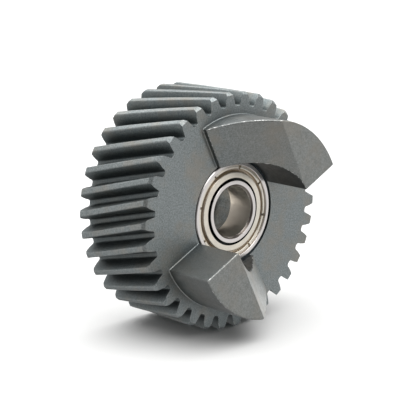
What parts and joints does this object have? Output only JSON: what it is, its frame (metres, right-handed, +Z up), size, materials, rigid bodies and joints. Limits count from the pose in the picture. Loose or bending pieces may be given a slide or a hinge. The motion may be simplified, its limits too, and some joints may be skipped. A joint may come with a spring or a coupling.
{
  "type": "helical drive gear",
  "caption": "Helical steel drive gear with the ramped jaws of a dog clutch on one face, free to turn on shielded ball bearings.",
  "frame": {"origin": "on the gear's axis, half way between the two faces of the toothed rim", "axes": "+Y along the axis from the jaws towards the plain rear face, +Z up, +X to the right when the jaws face the viewer"},
  "size_m": [0.0372, 0.0234, 0.0372],
  "materials": {
    "blackened_steel": "blackened, fine satin grain",
    "ring_steel": "ground and polished",
    "shield_steel": "pressed, satin",
    "cage_steel": "pressed, satin",
    "ball_steel": "polished"
  },
  "bodies": {
    "inner_rings": {"front_bearing_inner_ring": "ring_steel", "rear_bearing_inner_ring": "ring_steel"},
    "gear": {"drive_gear": "blackened_steel", "front_bearing_outer_ring": "ring_steel", "front_bearing_outboard_shield": "shield_steel", "front_bearing_inboard_shield": "shield_steel", "rear_bearing_outer_ring": "ring_steel", "rear_bearing_outboard_shield": "shield_steel", "rear_bearing_inboard_shield": "shield_steel"},
    "front_cage": {"front_bearing_cage_outboard_half": "cage_steel", "front_bearing_cage_inboard_half": "cage_steel", "front_bearing_cage_rivets": "cage_steel"},
    "front_ball_01": {"front_bearing_ball_01": "ball_steel"},
    "front_ball_02": {"front_bearing_ball_02": "ball_steel"},
    "front_ball_03": {"front_bearing_ball_03": "ball_steel"},
    "front_ball_04": {"front_bearing_ball_04": "ball_steel"},
    "front_ball_05": {"front_bearing_ball_05": "ball_steel"},
    "front_ball_06": {"front_bearing_ball_06": "ball_steel"},
    "front_ball_07": {"front_bearing_ball_07": "ball_steel"},
    "front_ball_08": {"front_bearing_ball_08": "ball_steel"},
    "front_ball_09": {"front_bearing_ball_09": "ball_steel"},
    "front_ball_10": {"front_bearing_ball_10": "ball_steel"},
    "rear_cage": {"rear_bearing_cage_outboard_half": "cage_steel", "rear_bearing_cage_inboard_half": "cage_steel", "rear_bearing_cage_rivets": "cage_steel"},
    "rear_ball_01": {"rear_bearing_ball_01": "ball_steel"},
    "rear_ball_02": {"rear_bearing_ball_02": "ball_steel"},
    "rear_ball_03": {"rear_bearing_ball_03": "ball_steel"},
    "rear_ball_04": {"rear_bearing_ball_04": "ball_steel"},
    "rear_ball_05": {"rear_bearing_ball_05": "ball_steel"},
    "rear_ball_06": {"rear_bearing_ball_06": "ball_steel"},
    "rear_ball_07": {"rear_bearing_ball_07": "ball_steel"},
    "rear_ball_08": {"rear_bearing_ball_08": "ball_steel"},
    "rear_ball_09": {"rear_bearing_ball_09": "ball_steel"},
    "rear_ball_10": {"rear_bearing_ball_10": "ball_steel"}
  },
  "joints": [
    {"name": "gear_spin", "type": "hinge", "parent": "inner_rings", "child": "gear", "pos_m": [0, 0, 0], "axis": [0, 1, 0], "continuous": true},
    {"name": "front_cage_spin", "type": "hinge", "parent": "inner_rings", "child": "front_cage", "pos_m": [0, -0.00495, 0], "axis": [0, 1, 0], "continuous": true},
    {"name": "front_ball_01_roll", "type": "hinge", "parent": "front_cage", "child": "front_ball_01", "pos_m": [0.006, -0.00495, 0], "axis": [0, 1, 0], "continuous": true},
    {"name": "front_ball_02_roll", "type": "hinge", "parent": "front_cage", "child": "front_ball_02", "pos_m": [0.00485, -0.00495, 0.00353], "axis": [0, 1, 0], "continuous": true},
    {"name": "front_ball_03_roll", "type": "hinge", "parent": "front_cage", "child": "front_ball_03", "pos_m": [0.00185, -0.00495, 0.00571], "axis": [0, 1, 0], "continuous": true},
    {"name": "front_ball_04_roll", "type": "hinge", "parent": "front_cage", "child": "front_ball_04", "pos_m": [-0.00185, -0.00495, 0.00571], "axis": [0, 1, 0], "continuous": true},
    {"name": "front_ball_05_roll", "type": "hinge", "parent": "front_cage", "child": "front_ball_05", "pos_m": [-0.00485, -0.00495, 0.00353], "axis": [0, 1, 0], "continuous": true},
    {"name": "front_ball_06_roll", "type": "hinge", "parent": "front_cage", "child": "front_ball_06", "pos_m": [-0.006, -0.00495, 0], "axis": [0, 1, 0], "continuous": true},
    {"name": "front_ball_07_roll", "type": "hinge", "parent": "front_cage", "child": "front_ball_07", "pos_m": [-0.00485, -0.00495, -0.00353], "axis": [0, 1, 0], "continuous": true},
    {"name": "front_ball_08_roll", "type": "hinge", "parent": "front_cage", "child": "front_ball_08", "pos_m": [-0.00185, -0.00495, -0.00571], "axis": [0, 1, 0], "continuous": true},
    {"name": "front_ball_09_roll", "type": "hinge", "parent": "front_cage", "child": "front_ball_09", "pos_m": [0.00185, -0.00495, -0.00571], "axis": [0, 1, 0], "continuous": true},
    {"name": "front_ball_10_roll", "type": "hinge", "parent": "front_cage", "child": "front_ball_10", "pos_m": [0.00485, -0.00495, -0.00353], "axis": [0, 1, 0], "continuous": true},
    {"name": "rear_cage_spin", "type": "hinge", "parent": "inner_rings", "child": "rear_cage", "pos_m": [0, 0.00495, 0], "axis": [0, 1, 0], "continuous": true},
    {"name": "rear_ball_01_roll", "type": "hinge", "parent": "rear_cage", "child": "rear_ball_01", "pos_m": [0.006, 0.00495, 0], "axis": [0, 1, 0], "continuous": true},
    {"name": "rear_ball_02_roll", "type": "hinge", "parent": "rear_cage", "child": "rear_ball_02", "pos_m": [0.00485, 0.00495, 0.00353], "axis": [0, 1, 0], "continuous": true},
    {"name": "rear_ball_03_roll", "type": "hinge", "parent": "rear_cage", "child": "rear_ball_03", "pos_m": [0.00185, 0.00495, 0.00571], "axis": [0, 1, 0], "continuous": true},
    {"name": "rear_ball_04_roll", "type": "hinge", "parent": "rear_cage", "child": "rear_ball_04", "pos_m": [-0.00185, 0.00495, 0.00571], "axis": [0, 1, 0], "continuous": true},
    {"name": "rear_ball_05_roll", "type": "hinge", "parent": "rear_cage", "child": "rear_ball_05", "pos_m": [-0.00485, 0.00495, 0.00353], "axis": [0, 1, 0], "continuous": true},
    {"name": "rear_ball_06_roll", "type": "hinge", "parent": "rear_cage", "child": "rear_ball_06", "pos_m": [-0.006, 0.00495, 0], "axis": [0, 1, 0], "continuous": true},
    {"name": "rear_ball_07_roll", "type": "hinge", "parent": "rear_cage", "child": "rear_ball_07", "pos_m": [-0.00485, 0.00495, -0.00353], "axis": [0, 1, 0], "continuous": true},
    {"name": "rear_ball_08_roll", "type": "hinge", "parent": "rear_cage", "child": "rear_ball_08", "pos_m": [-0.00185, 0.00495, -0.00571], "axis": [0, 1, 0], "continuous": true},
    {"name": "rear_ball_09_roll", "type": "hinge", "parent": "rear_cage", "child": "rear_ball_09", "pos_m": [0.00185, 0.00495, -0.00571], "axis": [0, 1, 0], "continuous": true},
    {"name": "rear_ball_10_roll", "type": "hinge", "parent": "rear_cage", "child": "rear_ball_10", "pos_m": [0.00485, 0.00495, -0.00353], "axis": [0, 1, 0], "continuous": true}
  ],
  "couplings": [
    {"joint": "front_cage_spin", "follows": "gear_spin", "ratio": 0.58333},
    {"joint": "front_ball_01_roll", "follows": "gear_spin", "ratio": 2.9167},
    {"joint": "front_ball_02_roll", "follows": "gear_spin", "ratio": 2.9167},
    {"joint": "front_ball_03_roll", "follows": "gear_spin", "ratio": 2.9167},
    {"joint": "front_ball_04_roll", "follows": "gear_spin", "ratio": 2.9167},
    {"joint": "front_ball_05_roll", "follows": "gear_spin", "ratio": 2.9167},
    {"joint": "front_ball_06_roll", "follows": "gear_spin", "ratio": 2.9167},
    {"joint": "front_ball_07_roll", "follows": "gear_spin", "ratio": 2.9167},
    {"joint": "front_ball_08_roll", "follows": "gear_spin", "ratio": 2.9167},
    {"joint": "front_ball_09_roll", "follows": "gear_spin", "ratio": 2.9167},
    {"joint": "front_ball_10_roll", "follows": "gear_spin", "ratio": 2.9167},
    {"joint": "rear_cage_spin", "follows": "gear_spin", "ratio": 0.58333},
    {"joint": "rear_ball_01_roll", "follows": "gear_spin", "ratio": 2.9167},
    {"joint": "rear_ball_02_roll", "follows": "gear_spin", "ratio": 2.9167},
    {"joint": "rear_ball_03_roll", "follows": "gear_spin", "ratio": 2.9167},
    {"joint": "rear_ball_04_roll", "follows": "gear_spin", "ratio": 2.9167},
    {"joint": "rear_ball_05_roll", "follows": "gear_spin", "ratio": 2.9167},
    {"joint": "rear_ball_06_roll", "follows": "gear_spin", "ratio": 2.9167},
    {"joint": "rear_ball_07_roll", "follows": "gear_spin", "ratio": 2.9167},
    {"joint": "rear_ball_08_roll", "follows": "gear_spin", "ratio": 2.9167},
    {"joint": "rear_ball_09_roll", "follows": "gear_spin", "ratio": 2.9167},
    {"joint": "rear_ball_10_roll", "follows": "gear_spin", "ratio": 2.9167}
  ]
}
